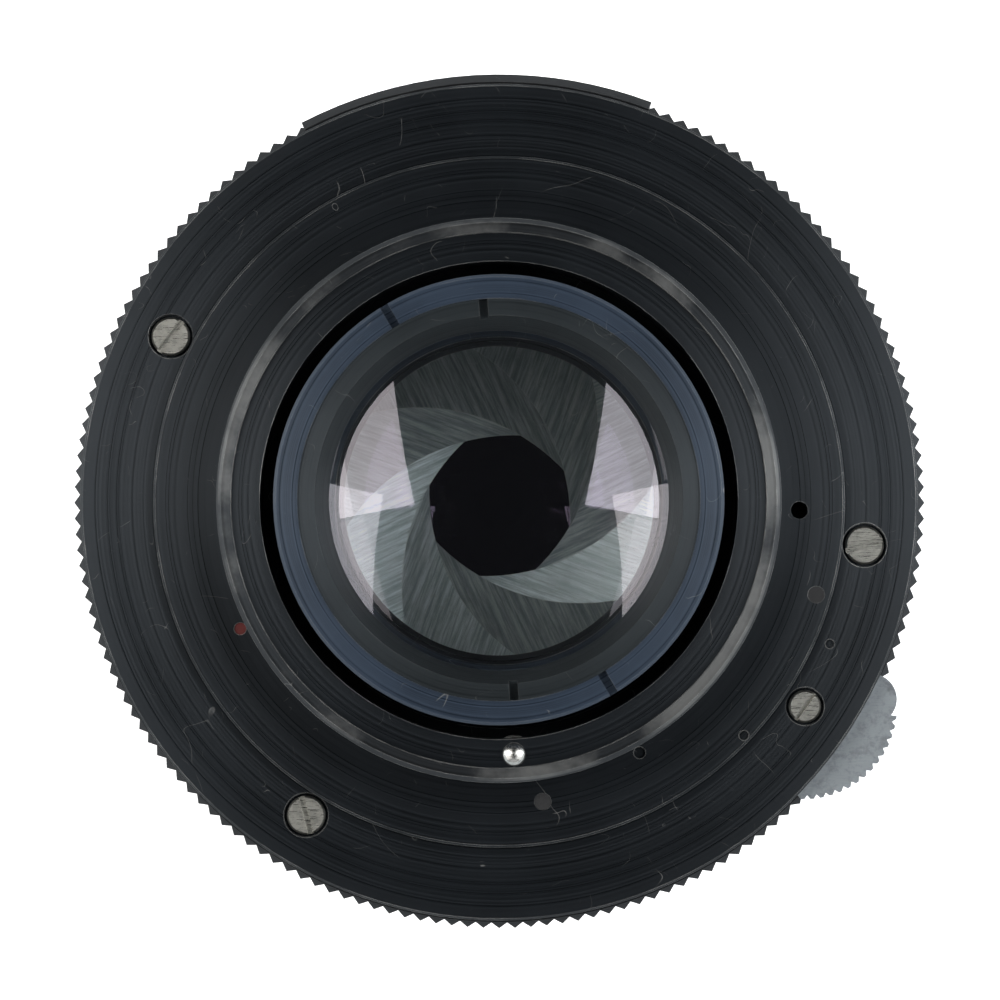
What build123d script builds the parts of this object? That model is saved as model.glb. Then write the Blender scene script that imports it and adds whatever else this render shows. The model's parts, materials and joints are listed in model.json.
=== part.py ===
"""M42 screw-mount prime lens, as an assembly of its separate pieces.

Millimetres. The optical axis is Z, with +Z towards the camera body, and +Y is the lens's top,
where the setting index is. The origin is the centre of the flange face that seats on the camera.
"""
import os
from math import cos, radians, sin, sqrt

from build123d import *

# ---- shared clearances -------------------------------------------------------------------
RUNNING = 0.05          # radial play of parts that turn or slide on each other
END_PLAY = 0.10         # axial play beside a turning ring
SEAT = 0.02             # gap at a seat, such as between a glass surface and the edge that holds it

# ---- mount plate and screw collar ----------------------------------------------------------
THREAD_R = 21.0         # major radius of the M42 x 1 thread
COLLAR_END = 4.6        # height of the collar above the flange face
COLLAR_LIP_R = 19.9     # inner edge of the collar's raised rim
COLLAR_LIP = 0.25       # height of that rim above the pin face
COLLAR_CHAMFER = 0.35
COLLAR_BORE_R = 17.76
REGISTER_R = 25.9       # outer edge of the raised flange face
PLATE_R = 31.4
PLATE_DROP = 0.8        # the outer plate lies this far below the flange face
PLATE_WALL = 1.6
SKIRT_WALL = 1.0
SKIRT_HEIGHT = 1.9
EDGE_BREAK = 0.15

# ---- fasteners of the rear face --------------------------------------------------------------
SCREW_CIRCLE_R = 27.6
PLATE_SCREWS = ((153.3, 53.0), (238.4, 104.0), (353.2, 18.0))   # place and slot direction
PLATE_HEAD_R, PLATE_HEAD_H = 1.45, 0.8
PLATE_SHANK_R, PLATE_SHANK = 0.8, 6.0
SLOT_W, SLOT_D = 0.45, 0.4
HEAD_PLAY = 0.22        # radial room round a head in its counterbore
LEVER_ANGLE, LEVER_SLOT_TURN = -33.8, 55.0
LEVER_HEAD_R, LEVER_HEAD_H = 1.22, 0.7
LEVER_SHANK_R, LEVER_SHANK = 0.7, 2.0           # threaded length below the lever
LEVER_SLOT_W = 0.3
INDEX_DOT = (21.6, 206.2, 0.45)       # radius, angle and size of the red dot
PLUGS = ((24.75, -16.4, 0.62), (22.7, -81.7, 0.62))
DEEP_HOLES = ((22.5, -1.7, 0.65),)
DIMPLES = ((27.0, -23.3, 0.35), (25.35, -43.7, 0.38), (21.55, -60.8, 0.45))
DIMPLE_D, PLUG_D = 0.3, 0.8

# ---- auto-aperture pin and its works -------------------------------------------------------------
PIN_ANGLE, PIN_CIRCLE_R, PIN_R = 273.4, 18.9, 0.785
PIN_TOP, PIN_DOME_R = 5.0, 1.06
PIN_FLANGE_R, PIN_FLANGE_H = 1.35, 0.4
SPRING_WIRE_R, SPRING_TURNS = 0.14, 3.5
ROCKER_W, ROCKER_H, ROCKER_ARM, ROCKER_END = 1.8, 0.8, 6.0, 1.0
AXLE_R = 0.25
EAR_W, EAR_THICK, EAR_BELOW, EAR_PLAY = 2.2, 0.6, 0.8, 0.15

# ---- mode lever ------------------------------------------------------------------------------------
LEVER_THICK = 1.0
LEVER_TIP_R = 7.0       # serrated edge, from the pivot
LEVER_HUB_R, LEVER_BOSS_R = 2.0, 1.3
LEVER_TEETH_START, LEVER_TEETH_END = -94.0, -6.0
LEVER_TOOTH_PITCH, LEVER_TOOTH_D = 6.0, 0.30
LEVER_LOBE_R = 1.9
LEVER_SWEEP = 32.0      # travel from rest to the other setting

# ---- fixed barrel and its rings ----------------------------------------------------------------------
BARREL_BORE = 24.05
JOURNAL_R = 29.0        # bearing of the aperture ring
UPSTAND_R = 25.2
POST_R = 2.3
FLOOR = -4.4            # top of the barrel's shoulder under the mount plate
APERTURE_TOP, APERTURE_LOW = FLOOR - END_PLAY, -13.5
KNURL_TEETH, KNURL_TIP_R, KNURL_ROOT_R = 168, 32.15, 31.7
PAD_R, PAD_CENTRE, PAD_HALF, PAD_BEVEL = 32.46, 93.35, 24.15, 0.6
INDEX_TOP, INDEX_LOW, INDEX_R = -13.6, -19.0, 31.2
INDEX_MARK_W, INDEX_MARK_D = 0.5, 0.12
DEPTH_MARKS = (8, 12, 17, 24, 33)               # degrees each side of the index line
INDEX_SCREW_ANGLES, INDEX_SCREW_R = (30.0, 150.0, 270.0), 0.6
INDEX_SCREW_Z = (INDEX_TOP + INDEX_LOW) / 2
SCREW_SUNK = 0.25       # how far the set screws lie below the surface round them
FOCUS_TOP, FOCUS_LOW, FOCUS_R = -19.1, -36.6, 31.6
FOCUS_WALL = 3.25
SCALE_BAND, SCALE_STEP = 7.0, 0.6               # smooth numbered band at the focus ring's rear
GRIP_FLUTES, FLUTE_R, FLUTE_DEPTH = 48, 0.9, 0.55
FLUTE_LOW, FLUTE_TOP = FOCUS_LOW + 1.2, FOCUS_TOP - SCALE_BAND - 1.6
FOCUS_SCREW_ANGLES, FOCUS_SCREW_R, FOCUS_SCREW_Z = (10.0, 130.0, 250.0), 0.7, FOCUS_TOP - SCALE_BAND / 2
NUT_JOURNAL_R = 26.4
NUT_JOURNAL = 3.9
RETAINER_R, RETAINER_H = 27.25, 1.4

# ---- optical barrel and front -----------------------------------------------------------------------
LENS_BARREL_R, LENS_BARREL_WALL = BARREL_BORE - RUNNING, 1.8
LENS_BARREL_TOP, LENS_BARREL_LOW = -10.0, -37.0
WEB = 1.2               # thickness of the web under the iris
KEY_DEPTH, KEY_W, KEY_H, KEY_ANGLES = 2.2, 2.4, 5.0, (0.0, 180.0)
KEY_LOW = LENS_BARREL_TOP - 1.0 - KEY_H
FILTER_R = 26.0         # major radius of the M52 x 0.75 filter thread
FILTER_WALL = 1.5
FRONT_RIM = -46.0
FILTER_DEPTH = 5.0
HOOD_R = 25.3
NAME_RING_IN = 15.4

# ---- optics, rear to front: vertex heights, then radii of curvature (positive bulges towards the camera) --
STOP_Z = -12.78
E6_EDGE, E6_REAR, E6_REAR_R, E6_FRONT, E6_FRONT_R = 13.6, 4.80, 46.1, 1.065, -507.0
E5_EDGE, E5_REAR, E5_REAR_R, E5_FRONT, E5_FRONT_R = 12.0, 0.845, 23.65, -6.19, -47.3
E4_FRONT, E4_FRONT_R, E4_CLEAR = -7.56, 16.81, 9.8
E3_EDGE, E3_REAR, E3_REAR_R, E3_CLEAR, E3_FRONT, E3_FRONT_R = 13.6, -19.40, -14.79, 9.3, -23.20, -47.3
E2_FRONT, E2_FRONT_R = -27.87, -22.36
E1_EDGE, E1_REAR, E1_REAR_R, E1_FRONT, E1_FRONT_R = 16.0, -28.01, -98.4, -32.37, -34.2

REAR_CELL_R, REAR_CELL_TOP = 16.7, 6.2
REAR_FLANGE = 0.4
REAR_HUB_R = 14.5
REAR_RIM_IN = 14.9
REAR_RETAINER_CLEAR, REAR_RETAINER_FLAT = 12.65, 13.65
SPANNER_W, SPANNER_D = 0.65, 0.6
CELL_SLOT_ANGLE, RETAINER_SLOT_ANGLE = 120.7, 94.5
FRONT_CELL_R = 18.2
FRONT_CELL_WALL = 1.8

# ---- iris -----------------------------------------------------------------------------------------------
BLADES = 8
BLADE_PIVOT_R = 16.6
BLADE_EDGE_R = 10.3     # inner edge, which lies on the full opening when the iris is open
BLADE_ROOT_W, BLADE_TAIL_W = 5.4, 1.6
BLADE_EYE_R, BLADE_EAR_R = 0.95, 0.75           # round ends over the pivot pin and the drive pin
BLADE_THICK = 0.04
BLADE_TILT = 3.6        # each blade leans down to the axis, over one neighbour and under the other
BLADE_SPAN = 95.0       # angle the blade spans round the axis when open
FIRST_PIVOT = 18.2
BLADE_REST = 23.36      # turn from full opening to rest, clockwise, degrees
BLADE_TRAVEL = 31.64    # turn from full opening to the smallest stop
PIVOT_PIN_R, DRIVE_PIN_R, PIN_ARM, PIN_LEAN = 0.45, 0.40, 2.6, 25.0
DRIVE_SHARE = 0.30      # drive ring turn per blade turn
IRIS_R, IRIS_LEDGE = 19.6, 0.6
SNAP_W, SNAP_H, SNAP_GAP = 1.0, 0.36, 4.0       # spring ring over the drive ring, open a few degrees
BASE_PLATE, DRIVE_PLATE = 1.2, 0.6
BASE_BORE = 10.2
DRIVE_RING_IN = 14.9

BASE = (Align.CENTER, Align.CENTER, Align.MIN)


# ---- shape helpers ------------------------------------------------------------------------------------
def lathe(*points):
    """Solid of revolution about Z from (radius, height) corners."""
    return revolve(Plane.XZ * make_face(Polyline(*points, close=True)), Axis.Z)


def tube(inner, outer, low, high):
    return lathe((inner, low), (outer, low), (outer, high), (inner, high))


def rod(radius, low, high):
    return Pos(0, 0, low) * Cylinder(radius, high - low, align=BASE)


def polar(radius, angle, height=0.0, turn=0.0):
    return Rot(0, 0, angle) * Pos(radius, 0, height) * Rot(0, 0, turn)


def sector(inner, outer, start, end, low, high):
    """Slab of a ring between two angles in degrees."""
    rim = CenterArc((0, 0), outer, start, end - start)
    hub = CenterArc((0, 0), inner, start, end - start)
    outline = [rim, Line(rim @ 1, hub @ 1), hub, Line(hub @ 0, rim @ 0)]
    return Pos(0, 0, low) * extrude(make_face(outline), high - low)


def polygon_slab(points, low, high):
    return Pos(0, 0, low) * extrude(make_face(Polyline(*points, close=True)), high - low)


def around(count, piece, start=0.0):
    return [Rot(0, 0, start + 360.0 * step / count) * piece for step in range(count)]


def slotted_screw(head_r, head_h, shank_r, shank, slot_w, slot_d):
    """Cheese-head screw seated at z = 0, with its head above."""
    head = rod(head_r, 0, head_h)
    head = chamfer(head.edges().group_by(Axis.Z)[-1], EDGE_BREAK)
    slot = Pos(0, 0, head_h - slot_d) * Box(3 * head_r, slot_w, 2 * slot_d, align=BASE)
    return head + rod(shank_r, -shank, 0) - slot


def surface_at(vertex, radius, height):
    """Height of a spherical surface at a distance from the axis.

    A surface with a positive radius bulges towards the camera, and a negative one away from it.
    """
    depth = abs(radius) - sqrt(radius * radius - height * height)
    return vertex - depth if radius > 0 else vertex + depth


def lens_element(edge, rear, rear_r, front, front_r, rear_clear=None, front_clear=None):
    """Glass element. Past its clear radius, where one is given, a surface runs out flat."""
    def profile(vertex, radius, clear):
        start = (0, vertex)
        middle = (clear / 2, surface_at(vertex, radius, clear / 2))
        finish = (clear, surface_at(vertex, radius, clear))
        return [ThreePointArc(start, middle, finish)], finish

    back, back_end = profile(rear, rear_r, rear_clear or edge)
    face, face_end = profile(front, front_r, front_clear or edge)
    if rear_clear:
        back.append(Line(back_end, (edge, back_end[1])))
    if front_clear:
        face.append(Line(face_end, (edge, face_end[1])))
    side = Line((edge, back_end[1]), (edge, face_end[1]))
    axis = Line((0, rear), (0, front))
    return revolve(Plane.XZ * make_face(back + [side] + face + [axis]), Axis.Z)


# ---- rear of the fixed body --------------------------------------------------------------------------
PLATE_REAR = -PLATE_DROP
PLATE_FRONT = PLATE_REAR - PLATE_WALL
SKIRT_LOW = PLATE_FRONT - SKIRT_HEIGHT
HEAD_SEAT = PLATE_REAR - PLATE_HEAD_H - 0.1
LEVER_TOP = PLATE_FRONT - 0.15
LEVER_LOW = LEVER_TOP - LEVER_THICK
LEVER_SEAT = PLATE_REAR - LEVER_HEAD_H - 0.1
PIN_FLANGE_TOP = PLATE_FRONT - 0.3
PIN_FLANGE_LOW = PIN_FLANGE_TOP - PIN_FLANGE_H
MECHANISM_TOP, MECHANISM_LOW = -6.0, -6.8
PIN_LOW = MECHANISM_LOW - 0.5
MECHANISM_IN = REAR_CELL_R + 0.35       # the rear cell slides through here


def lever_window():
    """Opening of the skirt that the mode lever reaches through."""
    return sector(PLATE_R - SKIRT_WALL - 1, PLATE_R + 1, LEVER_ANGLE - 26, LEVER_ANGLE + 8 + LEVER_SWEEP,
                  SKIRT_LOW - 1, PLATE_FRONT)


def mount_plate():
    pin_face = COLLAR_END - COLLAR_LIP
    plate = lathe(
        (COLLAR_BORE_R, PLATE_FRONT), (PLATE_R - SKIRT_WALL, PLATE_FRONT),
        (PLATE_R - SKIRT_WALL, SKIRT_LOW), (PLATE_R, SKIRT_LOW),
        (PLATE_R, PLATE_REAR - EDGE_BREAK), (PLATE_R - EDGE_BREAK, PLATE_REAR),
        (REGISTER_R, PLATE_REAR), (REGISTER_R, -EDGE_BREAK), (REGISTER_R - EDGE_BREAK, 0),
        (THREAD_R, 0), (THREAD_R, COLLAR_END - COLLAR_CHAMFER),
        (THREAD_R - COLLAR_CHAMFER, COLLAR_END), (COLLAR_LIP_R, COLLAR_END),
        (COLLAR_LIP_R, pin_face), (COLLAR_BORE_R, pin_face))
    for angle, _ in PLATE_SCREWS:
        plate -= polar(SCREW_CIRCLE_R, angle) * rod(PLATE_HEAD_R + HEAD_PLAY, HEAD_SEAT, 1)
        plate -= polar(SCREW_CIRCLE_R, angle) * rod(PLATE_SHANK_R, PLATE_FRONT - 1, 1)
    plate -= polar(SCREW_CIRCLE_R, LEVER_ANGLE) * rod(LEVER_HEAD_R + HEAD_PLAY, LEVER_SEAT, 1)
    plate -= polar(SCREW_CIRCLE_R, LEVER_ANGLE) * rod(LEVER_SHANK_R, PLATE_FRONT - 1, 1)
    plate -= polar(PIN_CIRCLE_R, PIN_ANGLE) * rod(PIN_R + RUNNING, PLATE_FRONT - 1, COLLAR_END + 1)
    for radius, angle, size in DEEP_HOLES:
        plate -= polar(radius, angle) * rod(size, PLATE_FRONT - 1, 1)
    for radius, angle, size in PLUGS:
        plate -= polar(radius, angle) * rod(size, -PLUG_D, 1)
    for radius, angle, size in DIMPLES:
        top = PLATE_REAR if radius > REGISTER_R else 0
        plate -= polar(radius, angle) * rod(size, top - DIMPLE_D, top + 1)
    radius, angle, size = INDEX_DOT
    plate -= polar(radius, angle) * rod(size, -DIMPLE_D, 1)
    return plate - lever_window()


def mount_screws():
    return [polar(SCREW_CIRCLE_R, angle, HEAD_SEAT, turn - angle)
            * slotted_screw(PLATE_HEAD_R, PLATE_HEAD_H, PLATE_SHANK_R, PLATE_SHANK, SLOT_W, SLOT_D)
            for angle, turn in PLATE_SCREWS]


def lever_pivot_screw():
    reach = LEVER_SEAT - LEVER_LOW + LEVER_SHANK
    screw = slotted_screw(LEVER_HEAD_R, LEVER_HEAD_H, LEVER_SHANK_R, reach, LEVER_SLOT_W, SLOT_D)
    return polar(SCREW_CIRCLE_R, LEVER_ANGLE, LEVER_SEAT, LEVER_SLOT_TURN - LEVER_ANGLE) * screw


def red_index_dot():
    radius, angle, size = INDEX_DOT
    return polar(radius, angle) * rod(size, -DIMPLE_D, -0.08)


def plate_plugs():
    return [polar(radius, angle) * rod(size, -PLUG_D, -0.03) for radius, angle, size in PLUGS]


def mode_lever():
    """Flat lever with a serrated outer edge, turning on its own screw."""
    disc = rod(LEVER_TIP_R, LEVER_LOW, LEVER_TOP)
    keep = sector(LEVER_HUB_R - 0.5, LEVER_TIP_R, LEVER_TEETH_START, LEVER_TEETH_END,
                  LEVER_LOW, LEVER_TOP)
    lever = (disc & keep) + rod(LEVER_HUB_R, LEVER_LOW, LEVER_TOP)
    notch = polygon_slab(((-LEVER_TOOTH_D, 0), (0.2, -0.42), (0.2, 0.42)), LEVER_LOW - 1, LEVER_TOP + 1)
    steps = int((LEVER_TEETH_END - LEVER_TEETH_START) / LEVER_TOOTH_PITCH)
    for step in range(steps + 1):
        angle = LEVER_TEETH_START + step * LEVER_TOOTH_PITCH
        lever -= polar(LEVER_TIP_R, angle) * notch
    lever += polar(LEVER_TIP_R - LEVER_LOBE_R, LEVER_TEETH_END + 12) * rod(LEVER_LOBE_R, LEVER_LOW, LEVER_TOP)
    lever -= rod(LEVER_SHANK_R + RUNNING, LEVER_LOW - 1, LEVER_TOP + 1)
    lever = polar(SCREW_CIRCLE_R, LEVER_ANGLE, 0, -LEVER_ANGLE) * lever
    inner_room = rod(UPSTAND_R + 0.15, LEVER_LOW - 1, LEVER_TOP + 1)
    return lever - inner_room


# ---- auto-aperture works ----------------------------------------------------------------------------
def aperture_pin():
    pin = Pos(0, 0, PIN_LOW + PIN_R) * Sphere(PIN_R)
    pin += rod(PIN_R, PIN_LOW + PIN_R, PIN_TOP) & Pos(0, 0, PIN_TOP - PIN_DOME_R) * rod(PIN_R, -20, 0)
    pin += Pos(0, 0, PIN_TOP - PIN_DOME_R) * Sphere(PIN_DOME_R) & rod(PIN_R, PIN_LOW + PIN_R, PIN_TOP + 1)
    pin += rod(PIN_FLANGE_R, PIN_FLANGE_LOW, PIN_FLANGE_TOP)
    return polar(PIN_CIRCLE_R, PIN_ANGLE) * pin


def pin_spring():
    coil_r = PIN_R + 2 * RUNNING + SPRING_WIRE_R
    low, high = MECHANISM_TOP + SPRING_WIRE_R + SEAT, PIN_FLANGE_LOW - SPRING_WIRE_R - SEAT
    turns = Helix((high - low) / SPRING_TURNS, high - low, coil_r)
    start = Plane(origin=turns @ 0, z_dir=turns % 0)
    coil = sweep(start * Circle(SPRING_WIRE_R), path=turns)
    return polar(PIN_CIRCLE_R, PIN_ANGLE, low) * coil


ROCKER_TOP = PIN_LOW - RUNNING
ROCKER_AXLE_Z = ROCKER_TOP - ROCKER_H / 2


def rocker_place():
    """Frame at the pin: X points along the rocker, away from the pin."""
    return polar(PIN_CIRCLE_R, PIN_ANGLE, 0, 90)


def stop_down_rocker():
    bar = Pos(ROCKER_ARM / 2, 0, ROCKER_AXLE_Z) * Box(ROCKER_ARM + 2 * ROCKER_END, ROCKER_W, ROCKER_H)
    bore = Pos(ROCKER_ARM, 0, ROCKER_AXLE_Z) * Rot(90, 0, 0) * Cylinder(AXLE_R + RUNNING, ROCKER_W + 2)
    return rocker_place() * (bar - bore)


def rocker_bracket():
    """Two ears under the mechanism plate that carry the rocker's axle."""
    low = ROCKER_AXLE_Z - EAR_BELOW
    aside = (ROCKER_W + EAR_THICK) / 2 + EAR_PLAY
    ear = Box(EAR_W, EAR_THICK, MECHANISM_LOW - low, align=BASE)
    bore = Pos(ROCKER_ARM, 0, ROCKER_AXLE_Z) * Rot(90, 0, 0) * Cylinder(AXLE_R, 10)
    return [rocker_place() * (Pos(ROCKER_ARM, side * aside, low) * ear - bore) for side in (-1, 1)]


def rocker_axle():
    length = ROCKER_W + 2 * (EAR_PLAY + EAR_THICK)
    axle = Pos(ROCKER_ARM, 0, ROCKER_AXLE_Z) * Rot(90, 0, 0) * Cylinder(AXLE_R, length)
    return rocker_place() * axle


def mechanism_plate():
    """Ring inside the body that guides the pin and carries the rocker."""
    plate = tube(MECHANISM_IN, BARREL_BORE, MECHANISM_LOW, MECHANISM_TOP)
    return plate - polar(PIN_CIRCLE_R, PIN_ANGLE) * rod(PIN_R + RUNNING, MECHANISM_LOW - 1, MECHANISM_TOP + 1)


# ---- fixed barrel and the rings on it ----------------------------------------------------------------------
NUT_JOURNAL_LOW = INDEX_LOW - NUT_JOURNAL
RETAINER_TOP = NUT_JOURNAL_LOW
RETAINER_LOW = RETAINER_TOP - RETAINER_H


def fixed_barrel():
    body = lathe(
        (BARREL_BORE, PLATE_FRONT), (UPSTAND_R, PLATE_FRONT), (UPSTAND_R, FLOOR),
        (JOURNAL_R, FLOOR), (JOURNAL_R, INDEX_LOW), (NUT_JOURNAL_R, INDEX_LOW),
        (NUT_JOURNAL_R, RETAINER_LOW), (BARREL_BORE, RETAINER_LOW))
    for angle, _ in PLATE_SCREWS:
        post = polar(SCREW_CIRCLE_R, angle) * rod(POST_R, FLOOR, PLATE_FRONT)
        body += post & tube(BARREL_BORE, JOURNAL_R, FLOOR, PLATE_FRONT)
    for angle, _ in PLATE_SCREWS:
        body -= polar(SCREW_CIRCLE_R, angle) * rod(PLATE_SHANK_R, HEAD_SEAT - PLATE_SHANK, 0)
    body += polar(SCREW_CIRCLE_R, LEVER_ANGLE) * rod(LEVER_BOSS_R, FLOOR, LEVER_LOW - END_PLAY)
    body -= polar(SCREW_CIRCLE_R, LEVER_ANGLE) * rod(LEVER_SHANK_R, LEVER_LOW - LEVER_SHANK, 0)
    for angle in KEY_ANGLES:
        body -= polar(BARREL_BORE + 0.1, angle, KEY_LOW) * Box(KEY_DEPTH, KEY_W, KEY_H, align=BASE)
    return body


def guide_keys():
    """Blocks that keep the optical barrel from turning while it slides."""
    key = Box(KEY_DEPTH, KEY_W, KEY_H, align=BASE)
    return [polar(BARREL_BORE + 0.1, angle, KEY_LOW) * key for angle in KEY_ANGLES]


def aperture_ring():
    teeth = []
    for tooth in range(KNURL_TEETH):
        for share, radius in ((0, KNURL_TIP_R), (0.5, KNURL_ROOT_R)):
            angle = radians(360.0 * (tooth + share) / KNURL_TEETH)
            teeth.append((radius * cos(angle), radius * sin(angle)))
    low, high = APERTURE_LOW, APERTURE_TOP
    blank = lathe(
        (JOURNAL_R + RUNNING, low), (KNURL_TIP_R - 0.7, low), (KNURL_TIP_R, low + 0.7),
        (KNURL_TIP_R, high - 0.5), (KNURL_TIP_R - 0.5, high), (JOURNAL_R + RUNNING, high))
    ring = blank & polygon_slab(teeth, low - 1, high + 1)
    pad = lathe(
        (KNURL_ROOT_R - 1, low), (PAD_R - 0.4, low), (PAD_R, low + 0.4),
        (PAD_R, high - PAD_BEVEL), (PAD_R - PAD_BEVEL, high), (KNURL_ROOT_R - 1, high))
    wedge = sector(JOURNAL_R + 1, PAD_R + 1, PAD_CENTRE - PAD_HALF, PAD_CENTRE + PAD_HALF, low, high)
    return ring + (pad & wedge)


def index_ring():
    ring = lathe(
        (JOURNAL_R, INDEX_LOW), (INDEX_R, INDEX_LOW), (INDEX_R, INDEX_TOP - 0.3),
        (INDEX_R - 0.3, INDEX_TOP), (JOURNAL_R, INDEX_TOP))
    for mark in index_places():
        ring -= mark
    for angle in INDEX_SCREW_ANGLES:
        ring -= radial_hole(angle, INDEX_SCREW_Z, INDEX_SCREW_R, JOURNAL_R - 1, INDEX_R + 1)
    return ring


def radial_hole(angle, height, size, start, end):
    """Cylinder that points out from the axis."""
    return Rot(0, 0, angle) * Pos(start, 0, height) * Rot(0, 90, 0) * Cylinder(size, end - start, align=BASE)


def index_places():
    angles = [90.0] + [90.0 + side * step for step in DEPTH_MARKS for side in (-1, 1)]
    height = INDEX_TOP - INDEX_LOW
    mark = Pos(INDEX_R - INDEX_MARK_D, 0, INDEX_LOW + 0.25 * height) * Box(
        2 * INDEX_MARK_D, INDEX_MARK_W, 0.5 * height, align=(Align.MIN, Align.CENTER, Align.MIN))
    band = tube(INDEX_R - INDEX_MARK_D, INDEX_R, INDEX_LOW, INDEX_TOP)
    return [(Rot(0, 0, angle) * mark) & band for angle in angles]


def index_marks():
    return index_places()


def index_ring_screws():
    return [radial_hole(angle, INDEX_SCREW_Z, INDEX_SCREW_R, JOURNAL_R, INDEX_R - SCREW_SUNK)
            for angle in INDEX_SCREW_ANGLES]


def nut_retainer():
    return tube(NUT_JOURNAL_R, RETAINER_R, RETAINER_LOW, RETAINER_TOP - END_PLAY)


# ---- focusing ---------------------------------------------------------------------------------------------
NUT_R = FOCUS_R - FOCUS_WALL


def helicoid_nut():
    low = FOCUS_LOW + 0.6
    return lathe(
        (NUT_JOURNAL_R + RUNNING, FOCUS_TOP), (NUT_R, FOCUS_TOP), (NUT_R, low),
        (LENS_BARREL_R + RUNNING, low), (LENS_BARREL_R + RUNNING, RETAINER_LOW - END_PLAY),
        (RETAINER_R + RUNNING, RETAINER_LOW - END_PLAY), (RETAINER_R + RUNNING, RETAINER_TOP),
        (NUT_JOURNAL_R + RUNNING, RETAINER_TOP))


def focus_grip():
    band_low, band_r = FOCUS_TOP - SCALE_BAND, FOCUS_R - SCALE_STEP
    ring = lathe(
        (NUT_R, FOCUS_LOW), (FOCUS_R - 0.4, FOCUS_LOW), (FOCUS_R, FOCUS_LOW + 0.4),
        (FOCUS_R, band_low - SCALE_STEP), (band_r, band_low), (band_r, FOCUS_TOP - 0.2),
        (band_r - 0.2, FOCUS_TOP), (NUT_R, FOCUS_TOP))
    flute = Pos(FOCUS_R + FLUTE_R - FLUTE_DEPTH, 0, 0) * rod(FLUTE_R, FLUTE_LOW, FLUTE_TOP)
    ring -= around(GRIP_FLUTES, flute)
    for angle in FOCUS_SCREW_ANGLES:
        ring -= radial_hole(angle, FOCUS_SCREW_Z, FOCUS_SCREW_R, NUT_R - 1, FOCUS_R + 1)
    return ring


def focus_ring_screws():
    return [radial_hole(angle, FOCUS_SCREW_Z, FOCUS_SCREW_R, NUT_R, FOCUS_R - SCALE_STEP - SCREW_SUNK)
            for angle in FOCUS_SCREW_ANGLES]


# ---- optical barrel --------------------------------------------------------------------------------------
BLADE_Z = STOP_Z + 1.0               # height of the blades at their pivots
IRIS_SEAT = BLADE_Z - 1.58           # rear face of the iris base plate
BASE_LOW = IRIS_SEAT - BASE_PLATE
DRIVE_LOW = BLADE_Z + 0.25           # front face of the drive ring
DRIVE_TOP = DRIVE_LOW + DRIVE_PLATE
FLANGE_LOW = DRIVE_TOP + SNAP_H + 0.12
FLANGE_TOP = FLANGE_LOW + REAR_FLANGE
LENS_BORE = LENS_BARREL_R - LENS_BARREL_WALL
FRONT_CELL_LOW = -29.8


def lens_barrel():
    """Sliding body: an outer tube on the helicoid and an inner one round the front cell."""
    inner_low = FRONT_CELL_LOW - 0.7
    inner_wall = FRONT_CELL_R + FRONT_CELL_WALL
    body = lathe(
        (LENS_BORE, LENS_BARREL_TOP), (LENS_BARREL_R, LENS_BARREL_TOP),
        (LENS_BARREL_R, LENS_BARREL_LOW), (LENS_BORE, LENS_BARREL_LOW),
        (LENS_BORE, BASE_LOW - 3 * WEB), (inner_wall, BASE_LOW - 3 * WEB),
        (inner_wall, inner_low), (FRONT_CELL_R, inner_low),
        (FRONT_CELL_R, BASE_LOW - WEB), (BASE_BORE + 1.6, BASE_LOW - WEB),
        (BASE_BORE + 1.6, BASE_LOW), (LENS_BORE, BASE_LOW))
    low = KEY_LOW - 2 * RUNNING
    keyway = Pos(0, 0, low) * Box(KEY_DEPTH + 0.2, KEY_W + 2 * RUNNING, LENS_BARREL_TOP + 1 - low, align=BASE)
    return body - [polar(LENS_BARREL_R, angle) * keyway for angle in KEY_ANGLES]


def iris_base():
    """Plate that carries the blades' pivots, with a wall that the drive ring turns in."""
    plate = lathe(
        (BASE_BORE, BASE_LOW), (LENS_BORE, BASE_LOW), (LENS_BORE, FLANGE_LOW),
        (IRIS_R, FLANGE_LOW), (IRIS_R, DRIVE_LOW - RUNNING), (IRIS_R - IRIS_LEDGE, DRIVE_LOW - RUNNING),
        (IRIS_R - IRIS_LEDGE, IRIS_SEAT), (BASE_BORE, IRIS_SEAT))
    hole = Pos(BLADE_PIVOT_R, 0, 0) * rod(PIVOT_PIN_R + RUNNING, BASE_LOW - 1, IRIS_SEAT + 0.5)
    return plate - around(BLADES, hole, FIRST_PIVOT)


def iris_snap_ring():
    low = DRIVE_TOP + RUNNING
    ring = tube(IRIS_R - SNAP_W, IRIS_R, low, low + SNAP_H)
    return ring - sector(IRIS_R - 2 * SNAP_W, IRIS_R + 1, -SNAP_GAP, SNAP_GAP, low - 1, low + 1)


def turned(point, angle):
    """A point in the plane turned about the axis, degrees."""
    a = radians(angle)
    return point[0] * cos(a) - point[1] * sin(a), point[0] * sin(a) + point[1] * cos(a)


def drive_pin_place(turn):
    """Place of a blade's drive pin, its pivot lying on +X, when the blade has closed by a turn from rest."""
    lean = radians(90 - PIN_LEAN - turn)
    return BLADE_PIVOT_R + PIN_ARM * cos(lean), PIN_ARM * sin(lean)


def drive_slot(low, high):
    """Curved slot that one drive pin follows as the drive ring turns."""
    first, last = -BLADE_REST - 1.0, BLADE_TRAVEL - BLADE_REST + 1.0
    path = [turned(drive_pin_place(turn), DRIVE_SHARE * turn) for turn in (first, (first + last) / 2, last)]
    slot = SlotArc(ThreePointArc(*path), 2 * (DRIVE_PIN_R + RUNNING))
    return Pos(0, 0, low) * extrude(slot, high - low)


def iris_drive_ring():
    ring = tube(DRIVE_RING_IN, IRIS_R - RUNNING, DRIVE_LOW, DRIVE_TOP)
    return ring - around(BLADES, drive_slot(DRIVE_LOW - 1, DRIVE_TOP + 1), FIRST_PIVOT)


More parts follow.
